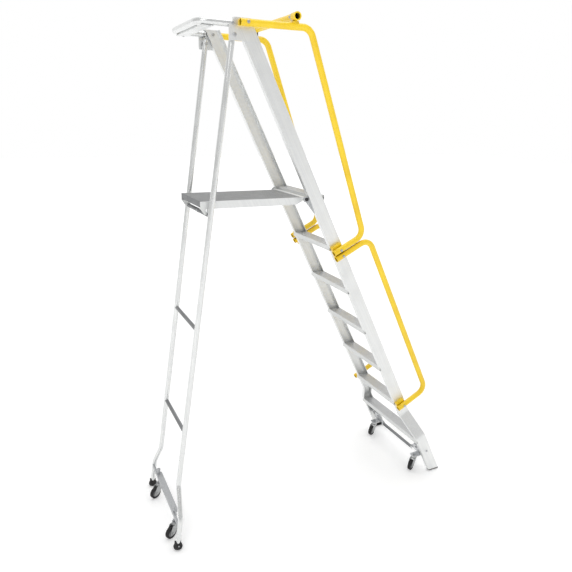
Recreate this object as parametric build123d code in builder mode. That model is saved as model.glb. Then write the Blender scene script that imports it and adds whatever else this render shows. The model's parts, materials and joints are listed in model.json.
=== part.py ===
from build123d import *
import os
from math import cos, radians, sin, tan

os.makedirs("parts", exist_ok=True)

# Rolling warehouse ladder with a railed platform, on sprung casters.
# Millimetres. +Z is up, the climber walks up towards +Y, and left is -X.
# The origin is on the floor, under the middle of the whole ladder.

# Driving dimensions
DECK_Z = 2000.0                 # standing height
RISES = 7                       # six treads and the deck
LEAN = radians(26.84)           # stiles from the vertical
FOOT_GAP = 4.0                  # feet hang this far above the floor on the casters
STILE_Y = -952.8                # middle of the stile where its line meets the floor
STILE_TOP = 2880.0
STILE_WEB = 76.0
STILE_FLANGE = 28.0
STILE_WALL = 3.0
STILE_X = 235.0                 # outer face of the web, upper part
STILE_X_FOOT = 342.0            # outer face of the web at the foot
BEND_LOW = 311.0                # heights of the two bends that spread the stile
BEND_HIGH = 463.0
PIVOT_Y = 545.2                 # rear frame pivot
PIVOT_Z = 2803.0
LEG_FOOT_Y = 945.2
LEG_R = 15.0
LEG_WALL = 2.0
LEG_X = 209.0
LEG_X_FOOT = 318.0
LEG_BEND_LOW = 187.0
LEG_BEND_HIGH = 352.0
RAIL_R = 17.5                   # yellow handrail tube
RAIL_WALL = 2.5
RAIL_X = 270.0
HINGE_Y = 111.2                 # platform hinge axis
HINGE_Z = 1993.0
DECK_REAR = 715.2
DECK_HALF = 178.0
CASTER_R = 37.5
CASTER_TRAIL = 36.0
GATE_Y = 238.0                  # axis of the gate bar, above the handrails
GATE_Z = 2904.0
TRAVEL = 6.0                    # stroke of the sprung casters

RISE = DECK_Z / RISES
U = Vector(0, sin(LEAN), cos(LEAN))         # along the stile, upwards
PERP = Vector(0, cos(LEAN), -sin(LEAN))     # across the stile, towards the rear
LEG_SLOPE = (LEG_FOOT_Y - PIVOT_Y) / PIVOT_Z


def write(piece, name):
    """Label a finished piece and write it as its own STEP file."""
    piece.part.label = name
    export_step(piece.part, f"parts/{name}.step")


def stile_yz(along, perp):
    """Point of the side view from its distance along and across the stile."""
    return (STILE_Y + along * sin(LEAN) + perp * cos(LEAN), along * cos(LEAN) - perp * sin(LEAN))


def stile_y(z):
    """Y of the middle of the stile at height z."""
    return STILE_Y + z * tan(LEAN)


def leg_y(z):
    """Y of the middle of the rear leg at height z."""
    return PIVOT_Y + (PIVOT_Z - z) * LEG_SLOPE


def stile_plane(perp=0.0):
    """Plane of the stiles: x across the ladder, y up along the stile, normal to the front."""
    origin = Vector(0, STILE_Y, 0) + PERP * perp
    return Plane(origin=origin, x_dir=(1, 0, 0), z_dir=-PERP)


def side_plane(x):
    """Upright plane across X: local x is +Y, local y is +Z."""
    return Plane(origin=(x, 0, 0), x_dir=(0, 1, 0), z_dir=(1, 0, 0))


def tube_along(points, bend, outer, wall):
    """Hollow round tube along straight runs joined by arcs."""
    with BuildPart() as tube:
        with BuildLine() as path:
            FilletPolyline(*points, radius=bend)
        with BuildSketch(Plane(origin=path.line @ 0, z_dir=path.line % 0)):
            Circle(outer)
            Circle(outer - wall, mode=Mode.SUBTRACT)
        sweep()
    return tube


# ---------------------------------------------------------------- stiles
def ribbon(inner, outer):
    """Outline of the bent stile between two distances in from its outer face."""
    low = BEND_LOW / cos(LEAN)
    high = BEND_HIGH / cos(LEAN)
    top = (STILE_TOP + STILE_WEB) / cos(LEAN)
    near = [(-STILE_X_FOOT, -STILE_WEB), (-STILE_X_FOOT, low), (-STILE_X, high), (-STILE_X, top)]
    edge = [(x + outer, a) for x, a in near] + [(x + inner, a) for x, a in reversed(near)]
    with BuildSketch() as outline:
        with BuildLine():
            Polyline(*edge, close=True)
        make_face()
        bends = [v for v in outline.vertices() if low - 1 < v.Y < high + 1]
        fillet(bends, radius=60)
    return outline.sketch


RAIL_UPPER_ALONG = 1903.0       # where the handrails cross the stile
RAIL_LOWER_TOP = 1863.0
RAIL_LOWER_END = 621.0
RAIL_REACH = 200.0              # lower handrail in front of the stile
RAIL_PAST = 46.0                # handrail ends behind the middle of the stile
RAIL_TOP_Z = 2857.0
BOLT_R = 4.0
HOLE_R = 4.3

handrail_fixings = [
    (stile_y(RAIL_TOP_Z), RAIL_TOP_Z),
    stile_yz(RAIL_UPPER_ALONG, 0),
    stile_yz(RAIL_LOWER_TOP, 0),
    stile_yz(RAIL_LOWER_END, 0),
]
GUSSET_X = STILE_X + 3.0        # outer face of the gusset plates
HANGER_BOLT = stile_yz(200, -2)


def biggest(part, count=1):
    """The largest solids of a part, without the scraps that a cut leaves."""
    return part.solids().sort_by(SortBy.VOLUME)[-count:]


def cross_holes(x, places, radius=HOLE_R, length=60.0):
    """Cut holes through the current part along X."""
    with Locations(*[(x, y, z) for y, z in places]):
        Cylinder(radius, length, rotation=(0, 90, 0), mode=Mode.SUBTRACT)


SOLE = 8.0
with BuildPart() as left_stile:
    with BuildSketch(stile_plane()):
        add(ribbon(0, STILE_FLANGE))
    extrude(amount=STILE_WEB / 2, both=True)
    with BuildSketch(stile_plane()):
        add(ribbon(STILE_WALL, STILE_FLANGE + 1))
    extrude(amount=STILE_WEB / 2 - STILE_WALL, both=True, mode=Mode.SUBTRACT)
    split(bisect_by=Plane.XY.offset(STILE_TOP), keep=Keep.BOTTOM)
    split(bisect_by=Plane.XY.offset(FOOT_GAP + SOLE), keep=Keep.TOP)
    cross_holes(-STILE_X, handrail_fixings)
    cross_holes(-STILE_X_FOOT, [HANGER_BOLT])

with BuildPart() as right_stile:
    mirror(left_stile.part, about=Plane.YZ)

write(left_stile, "left_stile")
write(right_stile, "right_stile")

# ribbed rubber soles under the stiles, one solid each, closed over the channel end
SOLE_RIBS = 7
sole_depth = STILE_WEB / cos(LEAN)
sole_y = stile_y(FOOT_GAP + SOLE / 2)
with BuildPart() as stile_soles:
    with BuildSketch(Plane.XY.offset(FOOT_GAP + 3)):
        with Locations((-STILE_X_FOOT + STILE_FLANGE / 2, sole_y), (STILE_X_FOOT - STILE_FLANGE / 2, sole_y)):
            Rectangle(STILE_FLANGE, sole_depth)
    extrude(amount=SOLE - 3)
    with BuildSketch(Plane.XY.offset(FOOT_GAP)):
        with Locations((-STILE_X_FOOT + STILE_FLANGE / 2, sole_y), (STILE_X_FOOT - STILE_FLANGE / 2, sole_y)):
            with GridLocations(1, sole_depth / SOLE_RIBS, 1, SOLE_RIBS):
                Rectangle(STILE_FLANGE, sole_depth / SOLE_RIBS * 0.6)
    extrude(amount=3)
write(stile_soles, "stile_soles")

# ---------------------------------------------------------------- treads
TREAD_DEPTH = 84.0
TREAD_LIP = 27.0
TREAD_WALL = 2.5
GROOVES = 9


def tread(top_z, half_length, middle_y, name):
    """Channel-shaped tread with a grooved top, let into both stiles."""
    with BuildPart() as step:
        with BuildSketch(side_plane(0)):
            with Locations((middle_y, top_z - TREAD_LIP / 2)):
                Rectangle(TREAD_DEPTH, TREAD_LIP)
            with Locations((middle_y, top_z - TREAD_LIP / 2 - TREAD_WALL)):
                Rectangle(TREAD_DEPTH - 2 * TREAD_WALL, TREAD_LIP, mode=Mode.SUBTRACT)
            for side in (-1, 1):
                with Locations((middle_y + side * (TREAD_DEPTH / 2 - 6), top_z - TREAD_LIP + 1.25)):
                    Rectangle(12, TREAD_WALL)
            with Locations((middle_y, top_z)):
                with GridLocations(TREAD_DEPTH / (GROOVES + 1), 1, GROOVES, 1):
                    Rectangle(3.2, 1.6, mode=Mode.SUBTRACT)
        extrude(amount=half_length, both=True)
        add(left_stile.part, mode=Mode.SUBTRACT)
        add(right_stile.part, mode=Mode.SUBTRACT)
    write(step, name)
    return step


for number in range(1, RISES):
    z = RISE * number
    half = (STILE_X_FOOT if z < BEND_LOW else STILE_X) - STILE_WALL
    tread(z, half, stile_y(z) - 1, f"tread_{number}")

TOP_TREAD_Z = DECK_Z + 16
tread(TOP_TREAD_Z, STILE_X - STILE_WALL, stile_y(TOP_TREAD_Z) - 20, "top_tread")

# ---------------------------------------------------------------- gussets
GUSSET_BOTTOM = 2776.0
GUSSET_REAR = PIVOT_Y + 29
LOOP_Z = 2852.0
LOOP_START = PIVOT_Y - 2
LOOP_BOLT = (PIVOT_Y + 9, LOOP_Z)
PIVOT = (PIVOT_Y, PIVOT_Z)
GUSSET_FRONT_TOP = stile_y(STILE_TOP) - STILE_WEB / 2 / cos(LEAN)
GUSSET_FRONT_LOW = stile_y(GUSSET_BOTTOM) - STILE_WEB / 2 / cos(LEAN)
with BuildPart() as left_gusset:
    with BuildSketch(side_plane(-GUSSET_X)) as outline:
        with BuildLine():
            Polyline(
                (GUSSET_FRONT_LOW, GUSSET_BOTTOM),
                (GUSSET_FRONT_TOP, STILE_TOP),
                (PIVOT_Y - 3, STILE_TOP),
                (GUSSET_REAR, 2840),
                (GUSSET_REAR, GUSSET_BOTTOM),
                close=True,
            )
        make_face()
        rear_corners = [v for v in outline.vertices() if v.X > GUSSET_REAR - 1]
        fillet(rear_corners, radius=8)
    extrude(amount=GUSSET_X - STILE_X)
    cross_holes(-GUSSET_X, [handrail_fixings[0], PIVOT, LOOP_BOLT])
with BuildPart() as gussets:
    add(left_gusset.part)
    mirror(left_gusset.part, about=Plane.YZ)
write(gussets, "gusset_plates")

# ---------------------------------------------------------------- guard loop and tray
LOOP_R = 16.0
LOOP_X = STILE_X - LOOP_R
LOOP_REAR = 722.2
with BuildPart() as guard_loop:
    with BuildLine() as path:
        FilletPolyline(
            (-LOOP_X, LOOP_START, LOOP_Z),
            (-LOOP_X, LOOP_REAR, LOOP_Z),
            (LOOP_X, LOOP_REAR, LOOP_Z),
            (LOOP_X, LOOP_START, LOOP_Z),
            radius=55,
        )
    with BuildSketch(Plane(origin=path.line @ 0, z_dir=path.line % 0)):
        Circle(LOOP_R)
        Circle(LOOP_R - 2, mode=Mode.SUBTRACT)
    sweep()
    cross_holes(-LOOP_X, [LOOP_BOLT])
    cross_holes(LOOP_X, [LOOP_BOLT])
write(guard_loop, "guard_loop")

TRAY_FRONT = 644.2
TRAY_DEPTH = 60.0
TRAY_LIP = 300.0
TRAY_Z = LOOP_Z - LOOP_R - 3
with BuildPart() as loop_tray:
    with BuildSketch(Plane.XY.offset(TRAY_Z)):
        with Locations((0, TRAY_FRONT + TRAY_DEPTH / 2)):
            RectangleRounded(2 * LOOP_X + 12, TRAY_DEPTH, 6)
    extrude(amount=3)
    with BuildSketch(Plane.XY.offset(TRAY_Z + 3)):
        with Locations((0, TRAY_FRONT + 2), (0, TRAY_FRONT + TRAY_DEPTH - 2)):
            Rectangle(TRAY_LIP, 2)
    extrude(amount=8)
    with Locations((-LOOP_X, TRAY_FRONT + 20, TRAY_Z), (LOOP_X, TRAY_FRONT + 20, TRAY_Z)):
        Cylinder(2.5, 20, mode=Mode.SUBTRACT)
write(loop_tray, "loop_tray")

# ---------------------------------------------------------------- handrails
SPACER = RAIL_X - RAIL_R - STILE_X          # gap between tube and web
upper_bend_y = 152.2                        # where the two straight runs would meet
upper_front = stile_yz(RAIL_UPPER_ALONG, -172.7)
upper_end = stile_yz(RAIL_UPPER_ALONG, RAIL_PAST)
upper_points = [
    (-RAIL_X, stile_y(RAIL_TOP_Z) + 36, RAIL_TOP_Z - 2),
    (-RAIL_X, upper_bend_y, RAIL_TOP_Z + 3),
    (-RAIL_X, *upper_front),
    (-RAIL_X, *upper_end),
]
lower_points = [
    (-RAIL_X, *stile_yz(RAIL_LOWER_TOP, RAIL_PAST)),
    (-RAIL_X, *stile_yz(RAIL_LOWER_TOP, -RAIL_REACH)),
    (-RAIL_X, *stile_yz(RAIL_LOWER_END, -RAIL_REACH)),
    (-RAIL_X, *stile_yz(RAIL_LOWER_END, RAIL_PAST)),
]


def handrail(points, fixings, bend):
    """Left handrail tube with its bolt holes."""
    tube = tube_along(points, bend, RAIL_R, RAIL_WALL)
    with BuildPart() as rail:
        add(tube.part)
        cross_holes(-RAIL_X, fixings)
    return rail


left_upper_handrail = handrail(upper_points, handrail_fixings[:2], 60)
left_lower_handrail = handrail(lower_points, handrail_fixings[2:], 62)
with BuildPart() as right_upper_handrail:
    mirror(left_upper_handrail.part, about=Plane.YZ)
with BuildPart() as right_lower_handrail:
    mirror(left_lower_handrail.part, about=Plane.YZ)
write(left_upper_handrail, "left_upper_handrail")
write(left_lower_handrail, "left_lower_handrail")
write(right_upper_handrail, "right_upper_handrail")
write(right_lower_handrail, "right_lower_handrail")

# saddles between the tubes and the stiles; the top ones sit on the gussets
SADDLE_LENGTH = 62.0
SADDLE_WIDTH = 44.0
SADDLE_PERP = 6.0               # saddles sit behind the middle of the stile
SADDLE_WRAP = 4.0               # how far they reach round the tube
saddle_places = (                # along the stile, and how far the saddle stands off its tube
    (RAIL_UPPER_ALONG, 10),
    (RAIL_LOWER_TOP, -6),
    (RAIL_LOWER_END, 9),
)
with BuildPart() as left_saddles:
    for along, shift in saddle_places:
        y, z = stile_yz(along + shift, SADDLE_PERP)
        plane = Plane(origin=(-STILE_X, y, z), x_dir=PERP, z_dir=(-1, 0, 0))
        with BuildSketch(plane):
            RectangleRounded(SADDLE_LENGTH, SADDLE_WIDTH, 5)
        extrude(amount=SPACER + SADDLE_WRAP)
    with BuildSketch(side_plane(-GUSSET_X)):
        with Locations((handrail_fixings[0][0] + 4, RAIL_TOP_Z - 1)):
            RectangleRounded(SADDLE_LENGTH, 30, 5)
    extrude(amount=-SPACER)
    cross_holes(-RAIL_X + 10, handrail_fixings, length=90)
    for points, bend in ((upper_points, 60), (lower_points, 62)):
        add(tube_along(points, bend, RAIL_R, RAIL_R - 1).part, mode=Mode.SUBTRACT)
    split(bisect_by=Plane.YZ.offset(-STILE_X - SPACER - SADDLE_WRAP - 0.01), keep=Keep.TOP)
with BuildPart() as handrail_saddles:
    add(left_saddles.part)
    mirror(left_saddles.part, about=Plane.YZ)
write(handrail_saddles, "handrail_saddles")


def cross_bolt(y, z, head_x, nut_x, head_r=8.0, shank=BOLT_R):
    """Dome-headed bolt and nut along X: head outwards on the left side."""
    with BuildPart() as bolt:
        with BuildSketch(side_plane(head_x)):
            with Locations((y, z)):
                Circle(shank)
        extrude(amount=nut_x - head_x + 3)
        with BuildSketch(side_plane(head_x - 5)):
            with Locations((y, z)):
                Circle(head_r)
        extrude(amount=5)
        fillet(bolt.edges().filter_by(GeomType.CIRCLE).sort_by(Axis.X)[0], radius=3)
        with BuildSketch(side_plane(nut_x)):
            with Locations((y, z)):
                RegularPolygon(head_r, 6)
        extrude(amount=7)
    return bolt


with BuildPart() as frame_bolts:
    for y, z in handrail_fixings:
        add(cross_bolt(y, z, -RAIL_X - RAIL_R, -STILE_X + STILE_WALL).part)
    add(cross_bolt(*LOOP_BOLT, -GUSSET_X, -LOOP_X + LOOP_R).part)
    add(cross_bolt(*HANGER_BOLT, -STILE_X_FOOT, -STILE_X_FOOT + STILE_WALL + 3).part)
    with Locations((-LOOP_X, TRAY_FRONT + 20, TRAY_Z)):
        Cylinder(5, 2, align=(Align.CENTER, Align.CENTER, Align.MAX))
        Cylinder(2.5, 3, align=(Align.CENTER, Align.CENTER, Align.MIN))
    mirror(about=Plane.YZ)
write(frame_bolts, "frame_bolts")

# the rear frame swings on these two bolts, with a bush between leg and gusset
LEG_IN = LEG_X - LEG_R
with BuildPart() as pivot_bolts:
    bolt = cross_bolt(*PIVOT, -GUSSET_X, -LEG_IN + 1, head_r=10.0)
    add(bolt.part)
    mirror(bolt.part, about=Plane.YZ)
write(pivot_bolts, "pivot_bolts")

with BuildPart() as pivot_bushes:
    with BuildSketch(side_plane(-STILE_X)):
        with Locations(PIVOT):
            Circle(13)
            Circle(BOLT_R, mode=Mode.SUBTRACT)
    extrude(amount=STILE_X - LEG_X - LEG_R - 0.3)
    mirror(about=Plane.YZ)
write(pivot_bushes, "pivot_bushes")

# ---------------------------------------------------------------- platform hinge
LUG_R = 17.0
PIN_R = 8.0
BRACKET_IN = 207.0
BRACKET_OUT = 219.0
HINGE = (HINGE_Y, HINGE_Z)
flange_low = stile_yz(2160, STILE_WEB / 2)
flange_high = stile_yz(2235, STILE_WEB / 2)
with BuildPart() as left_hinge_bracket:
    with BuildSketch(side_plane(-BRACKET_OUT)):
        with BuildLine():
            Polyline(
                flange_low,
                flange_high,
                (HINGE_Y, HINGE_Z + LUG_R),
                (HINGE_Y, HINGE_Z - LUG_R),
                close=True,
            )
        make_face()
        with Locations(HINGE):
            Circle(LUG_R)
            Circle(PIN_R, mode=Mode.SUBTRACT)
    extrude(amount=BRACKET_OUT - BRACKET_IN)
    split(bisect_by=stile_plane(STILE_WEB / 2), keep=Keep.BOTTOM)
with BuildPart() as hinge_brackets:
    add(left_hinge_bracket.part)
    mirror(left_hinge_bracket.part, about=Plane.YZ)
write(hinge_brackets, "platform_hinge_brackets")

PIN_IN = 168.0
with BuildPart() as platform_hinge_pins:
    with BuildSketch(side_plane(-BRACKET_OUT)):
        with Locations(HINGE):
            Circle(PIN_R)
    extrude(amount=BRACKET_OUT - PIN_IN)
    with BuildSketch(side_plane(-BRACKET_OUT)):
        with Locations(HINGE):
            Circle(PIN_R + 2.5)
    extrude(amount=-3)
    mirror(about=Plane.YZ)
write(platform_hinge_pins, "platform_hinge_pins")

# ---------------------------------------------------------------- platform
TUBE_X = BRACKET_IN - 0.5
TUBE_R = 11.0
DECK_FRONT = HINGE_Y + TUBE_R + 1
RAIL_DEPTH = 40.0
REAR_DEPTH = 31.0               # the rear face is shallower than the side rails
SHEET = 3.0
with BuildPart() as platform_hinge_tube:
    with BuildSketch(side_plane(-TUBE_X)):
        with Locations(HINGE):
            Circle(TUBE_R)
            Circle(PIN_R + 0.06, mode=Mode.SUBTRACT)
    extrude(amount=2 * TUBE_X)
write(platform_hinge_tube, "platform_hinge_tube")

with BuildPart() as left_side_rail:
    with BuildSketch(side_plane(-DECK_HALF)):
        with BuildLine():
            Polyline(
                (HINGE_Y, DECK_Z),
                (DECK_REAR, DECK_Z),
                (DECK_REAR, DECK_Z - RAIL_DEPTH),
                (HINGE_Y + 40, DECK_Z - RAIL_DEPTH),
                (HINGE_Y, HINGE_Z - TUBE_R),
                close=True,
            )
        make_face()
    extrude(amount=3)
    with BuildSketch(Plane.XY.offset(DECK_Z - RAIL_DEPTH)):
        with Locations((-DECK_HALF + 12, (DECK_FRONT + 40 + DECK_REAR) / 2)):
            Rectangle(24, DECK_REAR - DECK_FRONT - 40)
    extrude(amount=3)
    add(platform_hinge_tube.part, mode=Mode.SUBTRACT)
    with Locations((-DECK_HALF, HINGE_Y, HINGE_Z)):
        Cylinder(TUBE_R, 20, rotation=(0, 90, 0), mode=Mode.SUBTRACT)
with BuildPart() as right_side_rail:
    mirror(left_side_rail.part, about=Plane.YZ)
with BuildPart() as side_rails:
    add(left_side_rail.part)
    add(right_side_rail.part)
write(side_rails, "platform_side_rails")

DECK_INNER = DECK_HALF - SHEET
DECK_RIBS = 34
with BuildPart() as platform_deck:
    with BuildSketch(Plane.XZ.offset(-DECK_FRONT)):
        with Locations((0, DECK_Z - SHEET / 2)):
            Rectangle(2 * DECK_INNER, SHEET)
        with Locations((0, DECK_Z)):
            with GridLocations(2 * DECK_INNER / DECK_RIBS, 1, DECK_RIBS - 1, 1):
                Rectangle(3.0, 1.4, mode=Mode.SUBTRACT)
    extrude(amount=-(DECK_REAR - 4 - DECK_FRONT))
write(platform_deck, "platform_deck")

with BuildPart() as platform_rear_rail:
    with BuildSketch(side_plane(-DECK_INNER)):
        with Locations((DECK_REAR - 2, DECK_Z - REAR_DEPTH / 2)):
            Rectangle(4, REAR_DEPTH)
        with Locations((DECK_REAR - 17, DECK_Z - REAR_DEPTH + SHEET / 2)):
            Rectangle(30, SHEET)
    extrude(amount=2 * DECK_INNER)

# two channels under the deck carry the load across to the side rails
with BuildPart() as deck_crossmembers:
    for y in (HINGE_Y + 170, HINGE_Y + 370):
        with BuildSketch(side_plane(-DECK_INNER)):
            with Locations((y, DECK_Z - SHEET - 12)):
                Rectangle(40, 24)
            with Locations((y, DECK_Z - SHEET - 15)):
                Rectangle(34, 24, mode=Mode.SUBTRACT)
        extrude(amount=2 * DECK_INNER)
with BuildPart() as crossmembers:
    add(platform_rear_rail.part)
    add(deck_crossmembers.part)
write(crossmembers, "platform_crossmembers")

# plates outside the rear corners hook over the support bar and keep the legs from spreading
BAR_R = 11.0
BAR_Z = 1927.0
BAR_Y = leg_y(BAR_Z)
BAR_GAP = 0.4                   # the plates stand this far above the bar
HOOK_WALL = 4.0
HOOK_FRONT = BAR_Y - 8
HOOK_TOP = DECK_Z - 1
HOOK_LOW = BAR_Z + 4
lip_y = BAR_Y + BAR_R + 1
with BuildPart() as platform_hooks:
    with BuildSketch(side_plane(-DECK_HALF - HOOK_WALL)):
        with BuildLine():
            Polyline(
                (HOOK_FRONT, HOOK_TOP),
                (DECK_REAR, HOOK_TOP),
                (DECK_REAR, DECK_Z - RAIL_DEPTH + 1),
                (BAR_Y + 24, HOOK_LOW),
                (lip_y, HOOK_LOW),
                (lip_y, BAR_Z + BAR_R + BAR_GAP),
                (HOOK_FRONT, BAR_Z + BAR_R + BAR_GAP),
                close=True,
            )
        make_face()
        with Locations((BAR_Y + 14, BAR_Z + 26)):
            SlotOverall(20, 5, rotation=90, mode=Mode.SUBTRACT)
    extrude(amount=HOOK_WALL)
    mirror(about=Plane.YZ)
write(platform_hooks, "platform_hooks")

# ---------------------------------------------------------------- rear frame
FOOT_RUBBER = 50.0
leg_points = [
    (-LEG_X, leg_y(PIVOT_Z + 20), PIVOT_Z + 20),
    (-LEG_X, leg_y(LEG_BEND_HIGH), LEG_BEND_HIGH),
    (-LEG_X_FOOT, leg_y(LEG_BEND_LOW), LEG_BEND_LOW),
    (-LEG_X_FOOT, leg_y(FOOT_GAP + 20), FOOT_GAP + 20),
]
RUNG_R = 11.0
RUNGS = {"rear_rungs": (1303.0, 687.0), "platform_support_bar": (BAR_Z,)}
leg_tube = tube_along(leg_points, 60, LEG_R, LEG_WALL)
with BuildPart() as rear_left_leg:
    add(leg_tube.part)
    cross_holes(-LEG_X, [PIVOT], radius=BOLT_R + 0.06)
with BuildPart() as rear_right_leg:
    mirror(rear_left_leg.part, about=Plane.YZ)
write(rear_left_leg, "rear_left_leg")
write(rear_right_leg, "rear_right_leg")

leg_core = tube_along(leg_points, 60, LEG_R, LEG_R - 1)
for name, heights in RUNGS.items():
    with BuildPart() as rung:
        with BuildSketch(side_plane(-LEG_X)):
            with Locations(*[(leg_y(z), z) for z in heights]):
                Circle(RUNG_R)
                Circle(RUNG_R - 2, mode=Mode.SUBTRACT)
        extrude(amount=2 * LEG_X)
        add(leg_core.part, mode=Mode.SUBTRACT)
        mirror(leg_core.part, about=Plane.YZ, mode=Mode.SUBTRACT)
    with BuildPart() as rung_piece:
        add(biggest(rung, len(heights)))
    write(rung_piece, name)

# a thin band round the middle of the support bar
BAND_HALF = 6.0
with BuildPart() as bar_clip:
    with BuildSketch(side_plane(-BAND_HALF)):
        with Locations((BAR_Y, BAR_Z)):
            Circle(BAR_R + 1.5)
            Circle(BAR_R, mode=Mode.SUBTRACT)
    extrude(amount=2 * BAND_HALF)
write(bar_clip, "bar_clip")

# rubber feet swelling round the leg; the collar is scooped so that two points stand up
foot_z = FOOT_GAP + FOOT_RUBBER
foot_y = leg_y(36)              # the upright foot is centred on the leaning leg at mid collar
SCOOP_R = 17.0
with BuildPart() as rear_feet:
    with BuildSketch(Plane(origin=(-LEG_X_FOOT, foot_y, 0), x_dir=(1, 0, 0), z_dir=(0, -1, 0))):
        with BuildLine():
            Polyline(
                (0, FOOT_GAP),
                (18, FOOT_GAP),
                (25, FOOT_GAP + 5),
                (27, FOOT_GAP + 13),
                (25, FOOT_GAP + 21),
                (19, FOOT_GAP + 31),
                (19, foot_z),
                (0, foot_z),
                close=True,
            )
        make_face()
    revolve(axis=Axis((-LEG_X_FOOT, foot_y, 0), (0, 0, 1)))
    with Locations((-LEG_X_FOOT, foot_y, foot_z + 5)):
        Cylinder(SCOOP_R, 60, rotation=(0, 90, 0), mode=Mode.SUBTRACT)
    add(leg_core.part, mode=Mode.SUBTRACT)
with BuildPart() as rear_rubber_feet:
    add(biggest(rear_feet))
    mirror(about=Plane.YZ)
write(rear_rubber_feet, "rear_rubber_feet")

# caster bar across the legs: a bent strip, wider between the casters
BAR_TOP = 168.0
CASTER_BAR_WALL = 4.0
STEM_X = 199.0
STEM_Y = LEG_FOOT_Y - 24
STEM_R = 6.0
FIT = 0.06                      # running clearance on a radius
SLEEVE_TOP = 194.0
BOSS_DROP = 18.0                # sleeve below the top of the bar
BAR_DEPTH = 36.0
BAR_END = 12.0
bar_rear = leg_y(BAR_TOP) + LEG_R
with BuildPart() as rear_caster_bar:
    with BuildSketch(Plane.XY.offset(BAR_TOP - CASTER_BAR_WALL)):
        with Locations((0, bar_rear - BAR_DEPTH / 2)):
            RectangleRounded(2 * STEM_X + 20, BAR_DEPTH, 8)
        with Locations((0, bar_rear - BAR_END / 2)):
            Rectangle(2 * LEG_X_FOOT, BAR_END)
    extrude(amount=CASTER_BAR_WALL)
    with BuildSketch(Plane.XY.offset(BAR_TOP - 24)):
        with Locations((0, bar_rear - 1.5)):
            Rectangle(2 * LEG_X_FOOT, 3)
    extrude(amount=24)
    with BuildSketch(Plane.XY.offset(BAR_TOP - BOSS_DROP)):
        with Locations((-STEM_X, STEM_Y), (STEM_X, STEM_Y)):
            Circle(10)
    extrude(amount=BOSS_DROP + SLEEVE_TOP - BAR_TOP)
    with Locations((-STEM_X, STEM_Y, BAR_TOP), (STEM_X, STEM_Y, BAR_TOP)):
        Cylinder(STEM_R + FIT, 80, mode=Mode.SUBTRACT)
    add(leg_core.part, mode=Mode.SUBTRACT)
    mirror(leg_core.part, about=Plane.YZ, mode=Mode.SUBTRACT)
with BuildPart() as rear_caster_bar_piece:
    add(biggest(rear_caster_bar))
write(rear_caster_bar_piece, "rear_caster_bar")

# ---------------------------------------------------------------- front carrier
CARRIER_PERP = 14.0
CARRIER_WALL = 4.0
STRIP_HALF = 170.0
PLATE_X = 312.0
STRIP_LOW = 116.0 / cos(LEAN)
PLATE_TOP = 205.0
PLATE_LOW = 112.0
FRONT_STEM_X = 250.0
FRONT_STEM_Y = STILE_Y + 120.0
TAB_Z = 98.0
GUIDES = ((238.0, 178.0), (292.0, 178.0))
SLOT_LENGTH = TRAVEL + 2 * (BOLT_R + 0.3)
plate_outline = [
    (-PLATE_X, PLATE_LOW + 14),
    (-PLATE_X, PLATE_TOP - 14),
    (-PLATE_X + 14, PLATE_TOP),
    (-STRIP_HALF - 52, PLATE_TOP),
    (-STRIP_HALF, STRIP_LOW + 20),
    (-STRIP_HALF - 4, STRIP_LOW),
    (-STRIP_HALF - 20, PLATE_LOW),
    (-PLATE_X + 14, PLATE_LOW),
]
tab_y = stile_y(TAB_Z) + CARRIER_PERP / cos(LEAN)
# an angle joins the end plates: a flange runs back from them and turns down
ANGLE_TOP = 121.0
ANGLE_HEIGHT = 18.0
ANGLE_BACK = 13.0               # depth of the flange behind the middle of the plates
ANGLE_LAP = 20.0                # how far it runs behind the plates
angle_y = stile_y(ANGLE_TOP) + CARRIER_PERP / cos(LEAN)
with BuildPart() as left_carrier:
    with BuildSketch(stile_plane(CARRIER_PERP)):
        with BuildLine():
            Polyline(*plate_outline, close=True)
        make_face()
        for x, along in GUIDES:
            with Locations((-x, along - TRAVEL / 2)):
                SlotOverall(SLOT_LENGTH, 2 * (BOLT_R + 0.3), rotation=90, mode=Mode.SUBTRACT)
    extrude(amount=CARRIER_WALL / 2, both=True)
    with BuildSketch(Plane.XY.offset(TAB_Z)):
        with Locations((-FRONT_STEM_X, tab_y + 37)):
            RectangleRounded(52, 80, 12)
    extrude(amount=CARRIER_WALL)
    with BuildSketch(side_plane(-STRIP_HALF - ANGLE_LAP)):
        with Locations((angle_y + ANGLE_BACK / 2, ANGLE_TOP - SHEET / 2)):
            Rectangle(ANGLE_BACK, SHEET)
        with Locations((angle_y + ANGLE_BACK - SHEET / 2, ANGLE_TOP - ANGLE_HEIGHT / 2)):
            Rectangle(SHEET, ANGLE_HEIGHT)
    extrude(amount=STRIP_HALF + ANGLE_LAP)
    with Locations((-FRONT_STEM_X, FRONT_STEM_Y, TAB_Z)):
        Cylinder(STEM_R, 30, mode=Mode.SUBTRACT)
    front_face = stile_plane(CARRIER_PERP - CARRIER_WALL / 2)
    split(bisect_by=front_face, keep=Keep.BOTTOM)
with BuildPart() as front_carrier:
    add(left_carrier.part)
    mirror(left_carrier.part, about=Plane.YZ)
write(front_carrier, "front_carrier")

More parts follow.
